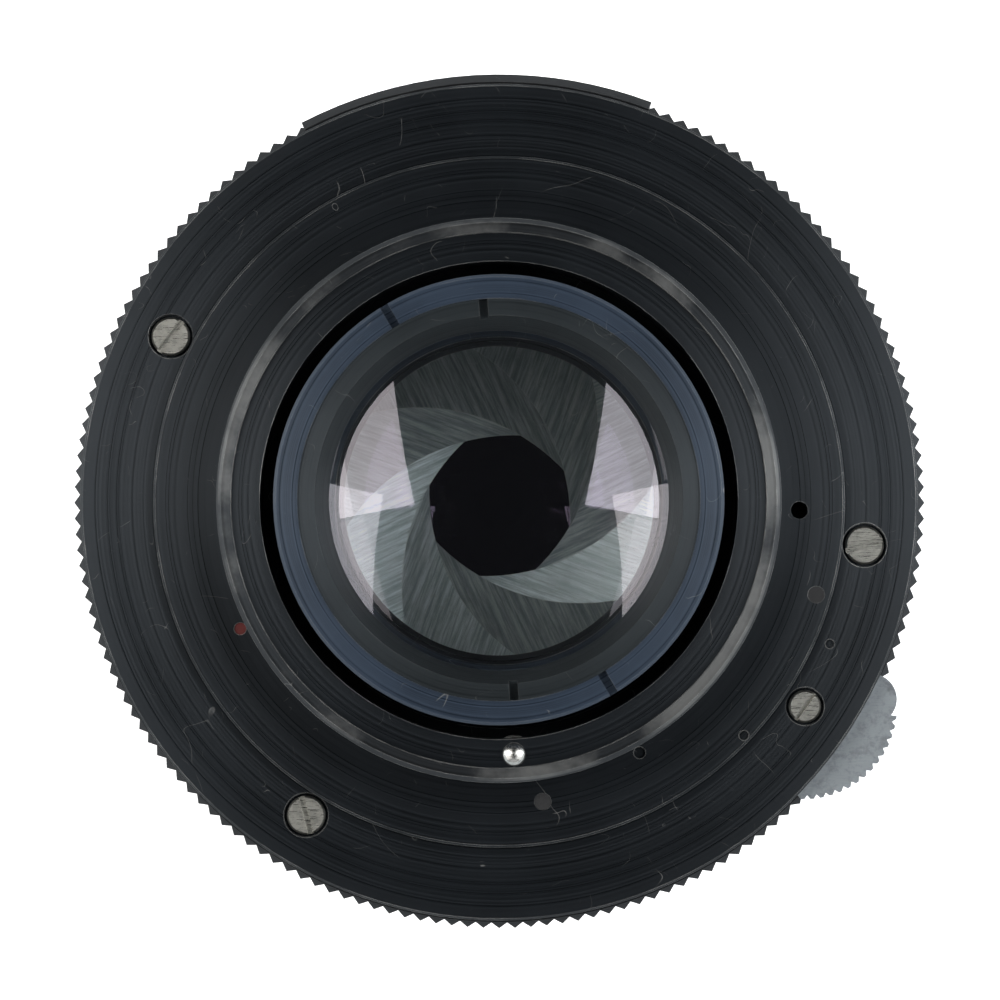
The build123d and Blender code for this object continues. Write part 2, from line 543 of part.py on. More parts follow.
def at(radius, angle):
    """Point of the plane at a radius and an angle in degrees."""
    return radius * cos(radians(angle)), radius * sin(radians(angle))


def open_blade():
    """One flat iris blade in the open position, its pivot on +X and its tail clockwise of it."""
    root, tail, middle = BLADE_EDGE_R + BLADE_ROOT_W, BLADE_EDGE_R + BLADE_TAIL_W, BLADE_SPAN / 2
    waist = BLADE_EDGE_R + 0.75 * BLADE_ROOT_W + 0.25 * BLADE_TAIL_W
    outline = [
        ThreePointArc(at(BLADE_EDGE_R, 4), at(BLADE_EDGE_R, -middle), at(BLADE_EDGE_R, -BLADE_SPAN)),
        ThreePointArc(at(BLADE_EDGE_R, -BLADE_SPAN), at(BLADE_EDGE_R + BLADE_TAIL_W / 2, -BLADE_SPAN - 4),
                      at(tail, -BLADE_SPAN)),
        ThreePointArc(at(tail, -BLADE_SPAN), at(waist, -middle), at(root, 4)),
        Line(at(root, 4), at(BLADE_EDGE_R, 4)),
    ]
    leaf = extrude(make_face(outline), BLADE_THICK)
    pin_x, pin_y = drive_pin_place(-BLADE_REST)
    eye = Pos(BLADE_PIVOT_R, 0, 0) * rod(BLADE_EYE_R, 0, BLADE_THICK)
    ear = Pos(pin_x, pin_y, 0) * rod(BLADE_EAR_R, 0, BLADE_THICK)
    neck = polygon_slab(((BLADE_PIVOT_R - 1.6, BLADE_EYE_R), (BLADE_PIVOT_R - 1.6, -2.6),
                         (BLADE_PIVOT_R, -BLADE_EYE_R), (BLADE_PIVOT_R, BLADE_EYE_R)), 0, BLADE_THICK)
    arm = polygon_slab(((BLADE_PIVOT_R + BLADE_EAR_R, 0), (pin_x + 0.6, pin_y), (pin_x - 0.6, pin_y),
                        (BLADE_PIVOT_R - BLADE_EAR_R, 0)), 0, BLADE_THICK)
    return leaf + eye + ear + neck + arm


def iris_blade(index):
    """Blade with its two pins, half closed, as the lens rests."""
    flat = Rot(0, 0, -BLADE_REST) * Pos(-BLADE_PIVOT_R, 0, 0) * open_blade()
    leaning = Rot(0, -BLADE_TILT, 0) * flat
    drive_x, drive_y = drive_pin_place(0)
    pivot = rod(PIVOT_PIN_R, BASE_LOW + 0.1 - BLADE_Z, 0.02)
    follower = Pos(drive_x - BLADE_PIVOT_R, drive_y, 0) * rod(DRIVE_PIN_R, -0.02, DRIVE_TOP - 0.1 - BLADE_Z)
    turn = FIRST_PIVOT + index * 360.0 / BLADES
    return Rot(0, 0, turn) * Pos(BLADE_PIVOT_R, 0, BLADE_Z) * (leaning + pivot + follower)


# ---- rear lens group ---------------------------------------------------------------------------------------
E6_BACK_EDGE = surface_at(E6_REAR, E6_REAR_R, E6_EDGE)
E6_FACE_EDGE = surface_at(E6_FRONT, E6_FRONT_R, E6_EDGE)
E4_SHOULDER = surface_at(E4_FRONT, E4_FRONT_R, E4_CLEAR)


def rear_cell():
    lip_low = E4_SHOULDER - 0.5
    cell = lathe(
        (REAR_RIM_IN, REAR_CELL_TOP), (REAR_CELL_R - 0.2, REAR_CELL_TOP), (REAR_CELL_R, REAR_CELL_TOP - 0.2),
        (REAR_CELL_R, FLANGE_TOP), (LENS_BORE, FLANGE_TOP), (LENS_BORE, FLANGE_LOW),
        (REAR_HUB_R, FLANGE_LOW), (REAR_HUB_R, lip_low), (BASE_BORE, lip_low),
        (BASE_BORE, E4_SHOULDER - SEAT), (E5_EDGE, E4_SHOULDER - SEAT),
        (E5_EDGE, E6_FACE_EDGE - 0.1), (E6_EDGE, E6_FACE_EDGE - 0.1),
        (E6_EDGE, E6_BACK_EDGE + 0.05), (REAR_RIM_IN, E6_BACK_EDGE + 0.05))
    slot = Pos(REAR_RIM_IN - 0.5, 0, REAR_CELL_TOP - SPANNER_D) * Box(
        4, SPANNER_W, 2, align=(Align.MIN, Align.CENTER, Align.MIN))
    return cell - around(2, slot, CELL_SLOT_ANGLE)


def rear_retainer():
    """Screwed ring that holds the rear element, with a bevel down to the glass."""
    low = surface_at(E6_REAR, E6_REAR_R, REAR_RETAINER_CLEAR) + SEAT
    top = REAR_CELL_TOP - 0.12
    ring = lathe(
        (REAR_RETAINER_CLEAR, low), (REAR_RIM_IN, low), (REAR_RIM_IN, top),
        (REAR_RETAINER_FLAT, top), (REAR_RETAINER_CLEAR, low + 0.5))
    slot = Pos(REAR_RETAINER_FLAT - 0.3, 0, top - SPANNER_D) * Box(
        4, SPANNER_W, 2, align=(Align.MIN, Align.CENTER, Align.MIN))
    return ring - around(2, slot, RETAINER_SLOT_ANGLE)


def rear_spacer():
    inner = E5_EDGE - 0.7
    low = surface_at(E5_REAR, E5_REAR_R, inner) + SEAT
    high = surface_at(E6_FRONT, E6_FRONT_R, inner) - SEAT
    return tube(inner, E5_EDGE, low, high)


def rear_element():
    return lens_element(E6_EDGE, E6_REAR, E6_REAR_R, E6_FRONT, E6_FRONT_R)


def rear_doublet_crown():
    return lens_element(E5_EDGE, E5_REAR, E5_REAR_R, E5_FRONT, E5_FRONT_R)


def rear_doublet_flint():
    return lens_element(E5_EDGE, E5_FRONT, E5_FRONT_R, E4_FRONT, E4_FRONT_R, front_clear=E4_CLEAR)


# ---- front lens group and front barrel --------------------------------------------------------------------
E3_SHOULDER = surface_at(E3_REAR, E3_REAR_R, E3_CLEAR)
CELL_STEP = -24.0       # where the front cell widens for the first element


def front_cell():
    top = E3_SHOULDER + 0.26
    return lathe(
        (BASE_BORE, top), (FRONT_CELL_R, top), (FRONT_CELL_R, FRONT_CELL_LOW),
        (E1_EDGE, FRONT_CELL_LOW), (E1_EDGE, CELL_STEP), (E3_EDGE, CELL_STEP),
        (E3_EDGE, E3_SHOULDER + SEAT), (BASE_BORE, E3_SHOULDER + SEAT))


def front_doublet_flint():
    return lens_element(E3_EDGE, E3_REAR, E3_REAR_R, E3_FRONT, E3_FRONT_R, rear_clear=E3_CLEAR)


def front_doublet_crown():
    return lens_element(E3_EDGE, E3_FRONT, E3_FRONT_R, E2_FRONT, E2_FRONT_R)


def front_element():
    return lens_element(E1_EDGE, E1_REAR, E1_REAR_R, E1_FRONT, E1_FRONT_R)


def front_spacer():
    inner, outer = E3_EDGE - 0.6, E1_EDGE
    top = surface_at(E2_FRONT, E2_FRONT_R, inner) - SEAT
    low = surface_at(E1_REAR, E1_REAR_R, outer) + SEAT
    return lathe(
        (inner, top), (E3_EDGE, top), (E3_EDGE, CELL_STEP), (outer, CELL_STEP), (outer, low), (inner, low))


def front_retainer():
    inner = E1_EDGE - 1.1
    top = surface_at(E1_FRONT, E1_FRONT_R, inner) - SEAT
    return tube(inner, E1_EDGE, FRONT_CELL_LOW, top)


def front_barrel():
    """Front tube with the filter thread, on the end of the sliding body."""
    outer = FILTER_R + FILTER_WALL
    flange_low = LENS_BARREL_LOW - 1.2
    step = FRONT_RIM + FILTER_DEPTH
    return lathe(
        (LENS_BORE, LENS_BARREL_LOW), (outer - 0.3, LENS_BARREL_LOW), (outer, LENS_BARREL_LOW - 0.3),
        (outer, FRONT_RIM + 0.3), (outer - 0.3, FRONT_RIM), (FILTER_R, FRONT_RIM),
        (FILTER_R, step), (HOOD_R, step), (HOOD_R, flange_low), (LENS_BORE, flange_low))


def name_ring():
    """Plain conical ring that covers the front cell."""
    back = LENS_BARREL_LOW - 1.2
    deep = FRONT_CELL_LOW - 1.2
    return lathe(
        (NAME_RING_IN, deep), (LENS_BORE - 0.4, back), (HOOD_R, back), (HOOD_R, back - 0.9),
        (LENS_BORE - 0.8, back - 0.9), (NAME_RING_IN, deep - 1.2))


# ---- writing the pieces --------------------------------------------------------------------------------------
PIECES = {
    "mount_plate": mount_plate,
    "mount_screws": mount_screws,
    "lever_pivot_screw": lever_pivot_screw,
    "red_index_dot": red_index_dot,
    "plate_plugs": plate_plugs,
    "mode_lever": mode_lever,
    "aperture_pin": aperture_pin,
    "pin_spring": pin_spring,
    "mechanism_plate": mechanism_plate,
    "rocker_bracket": rocker_bracket,
    "rocker_axle": rocker_axle,
    "stop_down_rocker": stop_down_rocker,
    "fixed_barrel": fixed_barrel,
    "guide_keys": guide_keys,
    "aperture_ring": aperture_ring,
    "index_ring": index_ring,
    "index_marks": index_marks,
    "index_ring_screws": index_ring_screws,
    "nut_retainer": nut_retainer,
    "helicoid_nut": helicoid_nut,
    "focus_grip": focus_grip,
    "focus_ring_screws": focus_ring_screws,
    "lens_barrel": lens_barrel,
    "iris_base": iris_base,
    "iris_snap_ring": iris_snap_ring,
    "iris_drive_ring": iris_drive_ring,
    "rear_cell": rear_cell,
    "rear_retainer": rear_retainer,
    "rear_spacer": rear_spacer,
    "rear_element": rear_element,
    "rear_doublet_crown": rear_doublet_crown,
    "rear_doublet_flint": rear_doublet_flint,
    "front_cell": front_cell,
    "front_doublet_flint": front_doublet_flint,
    "front_doublet_crown": front_doublet_crown,
    "front_element": front_element,
    "front_spacer": front_spacer,
    "front_retainer": front_retainer,
    "front_barrel": front_barrel,
    "name_ring": name_ring,
}

os.makedirs("parts", exist_ok=True)
for name, make in PIECES.items():
    piece = make()
    shape = Compound(children=piece) if isinstance(piece, list) else piece
    export_step(shape, os.path.join("parts", name + ".step"))
for number in range(BLADES):
    export_step(iris_blade(number), os.path.join("parts", "iris_blade_%d.step" % (number + 1)))
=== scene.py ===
"""Screw-mount prime lens, standing on its front rim with its rear face up."""
import json
from math import cos, pi, radians, sin, sqrt, tan

import bpy
from mathutils import Matrix, Vector

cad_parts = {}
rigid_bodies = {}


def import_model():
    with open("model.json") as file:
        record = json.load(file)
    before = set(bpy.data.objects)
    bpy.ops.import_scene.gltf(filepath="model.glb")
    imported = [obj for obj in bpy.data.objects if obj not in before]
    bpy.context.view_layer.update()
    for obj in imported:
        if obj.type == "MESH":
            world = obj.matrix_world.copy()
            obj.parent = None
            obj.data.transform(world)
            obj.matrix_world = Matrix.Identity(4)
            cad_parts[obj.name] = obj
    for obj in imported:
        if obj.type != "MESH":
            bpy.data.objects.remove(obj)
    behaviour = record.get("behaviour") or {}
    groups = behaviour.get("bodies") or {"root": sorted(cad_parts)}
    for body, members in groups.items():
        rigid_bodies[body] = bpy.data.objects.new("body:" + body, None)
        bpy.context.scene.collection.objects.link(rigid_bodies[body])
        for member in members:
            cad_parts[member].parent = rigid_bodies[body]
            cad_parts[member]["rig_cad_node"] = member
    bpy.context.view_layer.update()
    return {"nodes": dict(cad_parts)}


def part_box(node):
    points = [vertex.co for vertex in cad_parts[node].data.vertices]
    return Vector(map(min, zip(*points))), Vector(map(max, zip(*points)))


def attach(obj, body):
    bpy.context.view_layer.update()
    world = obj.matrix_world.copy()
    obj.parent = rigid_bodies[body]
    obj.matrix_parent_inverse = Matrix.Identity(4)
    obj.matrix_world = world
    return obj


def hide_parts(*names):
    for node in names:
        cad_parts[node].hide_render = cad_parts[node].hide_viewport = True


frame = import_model()

MM = 0.001
WELD = 0.002 * MM           # corners closer than this are one corner
SMOOTH_BELOW = radians(32)  # faces that meet at less than this are shaded as one

# ---- places taken from the frame ---------------------------------------------------------
rim_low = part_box("front_barrel")[0].z
collar_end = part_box("mount_plate")[1].z
pad_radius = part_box("aperture_ring")[1].y / MM

# ---- iris ----------------------------------------------------------------------------------
FIRST_PIVOT = 18.2          # angle of the first blade's pivot
PIVOT_STEP = 45
GRAIN_TURN = -38            # from a blade's pivot to the run of its brushing
BLADE_PAINTED_LIGHT = (1.7, 1.2, 0.82, 0.72, 1.05, 1.85, 1.6, 1.05)       # painted light and shade: some blades are painted brighter than others, for how their brushing catches the lamps

# ---- threads: major radius, depth and pitch in mm ------------------------------------------
COLLAR_THREAD = dict(radius=21.0, depth=0.55, pitch=1.0)
COLLAR_THREAD_START = 0.1   # above the red dot
COLLAR_THREAD_STOP = 0.3    # below the collar's end
COLLAR_SHEEN_RADII, COLLAR_SHEEN_HEIGHT = (19.8, 20.0), (4.30, 4.45)     # where a sheen is painted on the collar's end
FILTER_THREAD = dict(radius=26.0, depth=0.42, pitch=0.75)
FILTER_THREAD_DEPTH = 5.0   # from the front rim to the step behind the thread
TUBE_CHAMFER = 0.3
TUBE_FLANGE = 1.2           # thickness of the front tube's rear wall

# ---- glass, rear to front: vertex height, radius of curvature (positive bulges up) ----------
REAR_GLASS = dict(edge=13.6, rear=4.80, rear_r=46.1, front=1.065, front_r=-507.0)
REAR_DOUBLET = dict(edge=12.0, rear=0.845, rear_r=23.65, front=-7.56, front_r=16.81, front_clear=9.8)
FRONT_DOUBLET = dict(edge=13.6, rear=-19.40, rear_r=-14.79, front=-27.87, front_r=-22.36, rear_clear=9.3)
FRONT_GLASS = dict(edge=16.0, rear=-28.01, rear_r=-98.4, front=-32.37, front_r=-34.2)
SURFACE_STEPS = 22          # chords from the axis to a surface's edge

# ---- scales: angles from the index line or round the axis, in degrees ------------------------
INDEX_ANGLE = 90.0
APERTURE_STOPS = ((114.4, "2"), (103.0, "2.8"), (95.2, "4"), (90.0, "5.6"), (86.0, "8"), (83.4, "."),
                  (81.2, "16"))
DISTANCES = ((229.5, "0.5"), (187.2, "0.6"), (137.0, "0.8"), (108.0, "1"), (70.6, "1.5"), (52.5, "2"),
             (34.7, "3"), (20.6, "5"), (10.3, "10"))
DEPTH_STOPS = ((8, "4"), (17, "8"), (33, "16"))
APERTURE_ROW = dict(radius=pad_radius, height=-11.6, tall=1.55)
DISTANCE_ROW = dict(radius=31.0, height=-22.8, tall=2.4)
DEPTH_ROW = dict(radius=31.2, height=-14.25, tall=1.1)
NUMBER_RAISED = 0.04

# ---- stage: lengths in metres, angles in degrees -----------------------------------------------
LENS_PAINTED_SHADE_R = 28.5         # mm; painted shade: the floor under the lens is painted dark and gives no light up through the iris
SHADE_EDGE = 2.0
FLOOR_GLOW = 0.75
PANEL_AWAY = 0.54
WARM, COOL = (1.0, 0.985, 0.965), (0.97, 0.985, 1.0)
SIDES = (("left", 193, WARM), ("right", -13, COOL))
SIDE_PANELS = (
    ("_panel", dict(lean=46, wide=59, low=0.045, high=0.36, power=3.8)),
    ("_panel_middle", dict(lean=45, wide=32, low=0.045, high=0.36, power=2.2)),
    ("_low_panel", dict(lean=50, wide=46, low=-0.30, high=0.04, power=1.3)))
FRONT_PANEL = dict(azimuth=270, lean=56, wide=48, low=-0.30, high=0.30, power=0.45, colour=COOL)
WALL_TOP, WALL_FOOT = 0.34, 0.16        # rise of a direction above the level where the pale wall fades
WALL_DARK, WALL_PALE = 0.022, 0.75
ROOM_COLOUR = (0.85, 0.95, 1.0, 1.0)

# ---- camera ----------------------------------------------------------------------------------------
CAMERA_DISTANCE = 0.500
FIELD = 0.0742              # width of the view at the collar's end
TILT_DOWN, TILT_RIGHT = radians(1.24), radians(0.2)
AIM_RIGHT = 0.000089
SENSOR = 36.0


# ---- working by hand ---------------------------------------------------------------------
def deselect():
    if bpy.context.object and bpy.context.object.mode != "OBJECT":
        bpy.ops.object.mode_set(mode="OBJECT")
    bpy.ops.object.select_all(action="DESELECT")


def turn_profile(name, points, steps, close=False):
    """Draws an outline of (radius, height) points in mm by extruding a point, and spins it about Z."""
    deselect()
    bpy.ops.mesh.primitive_plane_add(size=MM)
    piece = bpy.context.object
    piece.name = name
    bpy.ops.object.mode_set(mode="EDIT")
    bpy.ops.mesh.select_all(action="SELECT")
    bpy.ops.mesh.merge(type="CENTER")
    here = Vector((0, 0, 0))
    first = Vector((points[0][0] * MM, 0, points[0][1] * MM))
    bpy.ops.transform.translate(value=first - here)
    here = first
    for radius, height in points[1:]:
        there = Vector((radius * MM, 0, height * MM))
        bpy.ops.mesh.extrude_region_move(TRANSFORM_OT_translate={"value": there - here})
        here = there
    if close:
        bpy.ops.mesh.extrude_region_move(TRANSFORM_OT_translate={"value": first - here})
    bpy.ops.mesh.select_all(action="SELECT")
    bpy.ops.mesh.spin(steps=steps, angle=2 * pi, center=(0, 0, 0), axis=(0, 0, 1), dupli=False)
    bpy.ops.mesh.select_all(action="SELECT")
    bpy.ops.mesh.remove_doubles(threshold=WELD)
    bpy.ops.mesh.normals_make_consistent(inside=False)
    bpy.ops.object.mode_set(mode="OBJECT")
    bpy.ops.object.select_all(action="DESELECT")
    piece.select_set(True)
    bpy.context.view_layer.objects.active = piece
    bpy.ops.object.shade_smooth_by_angle(angle=SMOOTH_BELOW)
    return piece


def surface_points(vertex, radius, clear):
    """Points from the axis out to the clear radius of a ground surface."""
    points = []
    for step in range(SURFACE_STEPS + 1):
        out = clear * step / SURFACE_STEPS
        depth = abs(radius) - sqrt(radius * radius - out * out)
        points.append((out, vertex - depth if radius > 0 else vertex + depth))
    return points


def ground_glass(name, edge, rear, rear_r, front, front_r, rear_clear=None, front_clear=None):
    """One body of glass, with a flat rim outside a surface that is ground to less than the edge."""
    back = surface_points(rear, rear_r, rear_clear or edge)
    face = surface_points(front, front_r, front_clear or edge)
    if rear_clear:
        back.append((edge, back[-1][1]))
    if front_clear:
        face.append((edge, face[-1][1]))
    return turn_profile(name, back + face[::-1], steps=128)


# ---- materials -----------------------------------------------------------------------------
LABELS = {"ior": "IOR", "specular_ior_level": "Specular IOR Level"}


class Finish:
    """A material with its shader and a short way to add and join nodes."""

    def __init__(self, name):
        self.material = bpy.data.materials.new(name)
        self.material.use_nodes = True
        self.tree = self.material.node_tree
        self.shader = self.tree.nodes["Principled BSDF"]
        self.output = self.tree.nodes["Material Output"]

    def node(self, kind, **settings):
        node = self.tree.nodes.new(kind)
        for key, value in settings.items():
            setattr(node, key, value)
        return node

    def join(self, start, end):
        self.tree.links.new(start, end)

    def math(self, operation, first, second=None, clamp=False):
        node = self.node("ShaderNodeMath", operation=operation, use_clamp=clamp)
        for index, value in enumerate((first, second)):
            if value is None:
                continue
            if isinstance(value, (int, float)):
                node.inputs[index].default_value = value
            else:
                self.join(value, node.inputs[index])
        return node.outputs[0]

    def set(self, **values):
        for key, value in values.items():
            label = LABELS.get(key, key.replace("_", " ").title())
            self.shader.inputs[label].default_value = value

    def place(self):
        """Object coordinates in millimetres."""
        coordinates = self.node("ShaderNodeTexCoord")
        scale = self.node("ShaderNodeVectorMath", operation="SCALE")
        scale.inputs["Scale"].default_value = 1 / MM
        self.join(coordinates.outputs["Object"], scale.inputs[0])
        return scale.outputs[0]

    def drive(self, value, socket):
        """Feeds one of the shader's own inputs."""
        self.join(value, self.shader.inputs[socket])

    def radius_and_height(self, place):
        parts = self.node("ShaderNodeSeparateXYZ")
        self.join(place, parts.inputs[0])
        across = self.math("MULTIPLY", parts.outputs[0], parts.outputs[0])
        along = self.math("MULTIPLY", parts.outputs[1], parts.outputs[1])
        radius = self.math("SQRT", self.math("ADD", across, along))
        return radius, parts.outputs[2]

    def noise(self, vector, scale, detail=2.0, roughness=0.5, distortion=0.0, dimensions="3D", w=None):
        node = self.node("ShaderNodeTexNoise", noise_dimensions=dimensions)
        node.inputs["Scale"].default_value = scale
        node.inputs["Detail"].default_value = detail
        node.inputs["Roughness"].default_value = roughness
        node.inputs["Distortion"].default_value = distortion
        if vector is not None:
            self.join(vector, node.inputs["Vector"])
        if w is not None:
            self.join(w, node.inputs["W"])
        return node.outputs["Fac"]

    def band(self, value, low, high, to_low=0.0, to_high=1.0):
        node = self.node("ShaderNodeMapRange", interpolation_type="SMOOTHSTEP")
        node.inputs["From Min"].default_value = low
        node.inputs["From Max"].default_value = high
        node.inputs["To Min"].default_value = to_low
        node.inputs["To Max"].default_value = to_high
        self.join(value, node.inputs["Value"])
        return node.outputs["Result"]

    def mix(self, factor, first, second):
        node = self.node("ShaderNodeMix", data_type="RGBA")
        self.join(factor, node.inputs["Factor"])
        for socket, value in ((node.inputs[6], first), (node.inputs[7], second)):
            if isinstance(value, tuple):
                socket.default_value = (*value, 1.0)
            else:
                self.join(value, socket)
        return node.outputs[2]

    def bump(self, height, strength, distance):
        """Fine relief on the shader's normal; the distance is in metres."""
        node = self.node("ShaderNodeBump")
        node.inputs["Strength"].default_value = strength
        node.inputs["Distance"].default_value = distance
        self.join(height, node.inputs["Height"])
        self.join(node.outputs["Normal"], self.shader.inputs["Normal"])

    def hairlines(self, place, scale, width, seed_shift):
        """Thin wandering lines, broken up, for scratches."""
        shift = self.node("ShaderNodeVectorMath", operation="ADD")
        shift.inputs[1].default_value = (seed_shift, seed_shift * 0.7, 0)
        self.join(place, shift.inputs[0])
        field = self.noise(shift.outputs[0], scale, detail=1.0, distortion=0.6)
        away = self.math("ABSOLUTE", self.math("SUBTRACT", field, 0.5))
        line = self.band(away, width, 0.0)
        patches = self.band(self.noise(shift.outputs[0], scale * 1.7, detail=3.0), 0.56, 0.64)
        return self.math("MULTIPLY", line, patches)

    def edges(self, size):
        """Bright where an edge is sharper than the given radius."""
        soft = self.node("ShaderNodeBevel", samples=4)
        soft.inputs["Radius"].default_value = size * MM
        hard = self.node("ShaderNodeNewGeometry")
        dot = self.node("ShaderNodeVectorMath", operation="DOT_PRODUCT")
        self.join(soft.outputs[0], dot.inputs[0])
        self.join(hard.outputs["Normal"], dot.inputs[1])
        return self.band(dot.outputs["Value"], 0.985, 0.86)


def shade(share, colour):
    return tuple(share * part for part in colour)


BLACK = (0.0046, 0.0054, 0.0064)
# colour of rubbed bare metal, also used for the painted sheen on the collar's end
RUBBED_AND_SHEEN = (0.36, 0.36, 0.35)
LATHE_LINES = 5.0           # lines to a millimetre, about
HEIGHT_SHARE = 1.3          # walls get their lines from height as well as from radius
GLOSS = 0.42
SKY_TINT = (0.74, 0.82, 0.90, 1.0)


def black_anodised(name, colour=BLACK, roughness=0.36, wear=0.7, painted_collar_sheen=False):
    """Black anodised aluminium, turned on a lathe, with worn edges and hairline scratches; where asked, a
    painted sheen on the collar's end.
    """
    finish = Finish(name)
    place = finish.place()
    radius, height = finish.radius_and_height(place)
    ring_place = finish.math("ADD", radius, finish.math("MULTIPLY", height, HEIGHT_SHARE))
    fine = finish.noise(None, LATHE_LINES, detail=3.0, roughness=0.7, dimensions="1D", w=ring_place)
    broad = finish.noise(None, 0.45, detail=2.0, dimensions="1D", w=ring_place)
    cloud = finish.noise(place, 0.12, detail=5.0, roughness=0.6)
    tone = finish.mix(finish.band(fine, 0.3, 0.7), shade(0.62, colour), shade(1.55, colour))
    tone = finish.mix(finish.band(cloud, 0.35, 0.7, 0.0, 0.5), tone, shade(1.9, colour))
    rubbed = finish.band(finish.noise(place, 0.22, detail=7.0, roughness=0.65), 0.40, 0.66, 0.12, 1.0)
    # edge wear; on the plate it is raised so that it also stands for painted highlights along the edges
    edge_wear_and_highlight = finish.math("MULTIPLY", finish.edges(0.11), rubbed)
    edge_wear_and_highlight = finish.math("MULTIPLY", edge_wear_and_highlight, wear, clamp=True)
    scratch = finish.math("MAXIMUM", finish.hairlines(place, 0.14, 0.0016, 11.0),
                          finish.hairlines(place, 0.33, 0.0020, 47.0))
    marks_and_sheen = finish.math("MAXIMUM", edge_wear_and_highlight, finish.math("MULTIPLY", scratch, 0.35))
    # painted sheen: a patchy light band on the collar's end, mixed in with the real wear and scratches
    if painted_collar_sheen:
        sheen_band = finish.math("MULTIPLY", finish.band(radius, *COLLAR_SHEEN_RADII),
                          finish.band(height, *COLLAR_SHEEN_HEIGHT))
        sheen_patches = finish.band(finish.noise(place, 0.09, detail=6.0, roughness=0.6), 0.46, 0.66, 0.015, 0.30)
        marks_and_sheen = finish.math("MAXIMUM", marks_and_sheen, finish.math("MULTIPLY", sheen_band, sheen_patches))
    finish.drive(finish.mix(marks_and_sheen, tone, RUBBED_AND_SHEEN), "Base Color")
    finish.drive(finish.math("MULTIPLY", marks_and_sheen, 0.8), "Metallic")
    rough = finish.band(broad, 0.3, 0.7, roughness - 0.08, roughness + 0.04)
    rough = finish.math("ADD", rough, finish.band(fine, 0.25, 0.75, -0.09, 0.13))
    finish.drive(rough, "Roughness")
    finish.set(anisotropic=0.75, anisotropic_rotation=0.25, specular_tint=SKY_TINT, specular_ior_level=GLOSS)
    tangent = finish.node("ShaderNodeVectorMath", operation="CROSS_PRODUCT")
    tangent.inputs[1].default_value = (0, 0, 1)
    finish.join(finish.node("ShaderNodeNewGeometry").outputs["Position"], tangent.inputs[0])
    finish.drive(tangent.outputs[0], "Tangent")
    finish.bump(fine, 0.5, 0.01 * MM)
    return finish.material


def bright_metal(name, colour, roughness, wear):
    """Bare steel or aluminium with fine rubbing marks."""
    finish = Finish(name)
    place = finish.place()
    stretch = finish.node("ShaderNodeMapping")
    stretch.inputs["Scale"].default_value = (0.25, 6.0, 6.0)
    finish.join(place, stretch.inputs["Vector"])
    rub = finish.noise(stretch.outputs[0], 3.0, detail=4.0, roughness=0.7)
    spots = finish.noise(place, 1.4, detail=6.0, roughness=0.7)
    dull = shade(0.55, colour)
    tone = finish.mix(finish.band(spots, 0.45, 0.68, 0.0, wear), colour, dull)
    finish.drive(finish.mix(finish.band(rub, 0.55, 0.75, 0.0, 0.4), tone, dull), "Base Color")
    finish.drive(finish.band(rub, 0.3, 0.7, roughness - 0.06, roughness + 0.12), "Roughness")
    finish.set(metallic=1.0)
    finish.bump(rub, 0.3, 0.02 * MM)
    return finish.material


def brass_metal(name):
    """Turned brass, with the tool's lines round it."""
    finish = Finish(name)
    place = finish.place()
    radius, height = finish.radius_and_height(place)
    lines = finish.noise(None, 6.0, detail=2.0, dimensions="1D", w=finish.math("ADD", radius, height))
    finish.drive(finish.mix(lines, (0.30, 0.20, 0.07), (0.55, 0.40, 0.16)), "Base Color")
    finish.set(metallic=1.0, roughness=0.35)
    finish.bump(lines, 0.3, 0.02 * MM)
    return finish.material


def blade_steel(name, pivot, painted_light_share):
    """Blued spring steel of an iris blade, brushed across the blade; its colours are scaled by a share of
    painted light and shade, and its edges carry a painted highlight.
    """
    finish = Finish(name)
    place = finish.place()
    run = radians(pivot + GRAIN_TURN)
    turn = finish.node("ShaderNodeMapping", vector_type="TEXTURE")
    turn.inputs["Rotation"].default_value = (0, 0, run)
    finish.join(place, turn.inputs["Vector"])
    stretch = finish.node("ShaderNodeVectorMath", operation="MULTIPLY")
    stretch.inputs[1].default_value = (0.12, 2.2, 0.0)
    finish.join(turn.outputs[0], stretch.inputs[0])
    brush = finish.noise(stretch.outputs[0], 2.2, detail=5.0, roughness=0.75)
    stain = finish.noise(place, 0.35, detail=5.0, roughness=0.7)
    # the blade's colours are scaled by its share of painted light and shade
    dark = shade(painted_light_share, (0.21, 0.25, 0.275))
    light = shade(painted_light_share, (0.46, 0.51, 0.54))
    tone = finish.mix(finish.band(brush, 0.36, 0.66), dark, light)
    tone = finish.mix(finish.band(stain, 0.5, 0.7, 0.0, 0.3), tone, shade(0.7, dark))
    scratch = finish.hairlines(place, 0.35, 0.003, pivot)
    tone = finish.mix(finish.math("MULTIPLY", scratch, 0.5), tone, (0.45, 0.46, 0.45))
    # painted highlight: the blades' sharp edges are painted a lighter steel
    tone = finish.mix(finish.math("MULTIPLY", finish.edges(0.05), 0.7), tone, (0.55, 0.56, 0.55))
    finish.drive(tone, "Base Color")
    finish.set(metallic=1.0, anisotropic=0.8)
    grain = finish.node("ShaderNodeCombineXYZ")
    grain.inputs[0].default_value = cos(run)
    grain.inputs[1].default_value = sin(run)
    finish.drive(grain.outputs[0], "Tangent")
    finish.drive(finish.band(brush, 0.3, 0.7, 0.42, 0.52), "Roughness")
    finish.bump(brush, 0.25, 0.02 * MM)
    return finish.material


def paint(name, colour):
    """Brushed-in enamel, a little uneven."""
    finish = Finish(name)
    specks = finish.noise(finish.place(), 4.0, detail=5.0)
    finish.drive(finish.mix(specks, shade(0.6, colour), colour), "Base Color")
    finish.set(roughness=0.5)
    finish.bump(specks, 0.3, 0.03 * MM)
    return finish.material


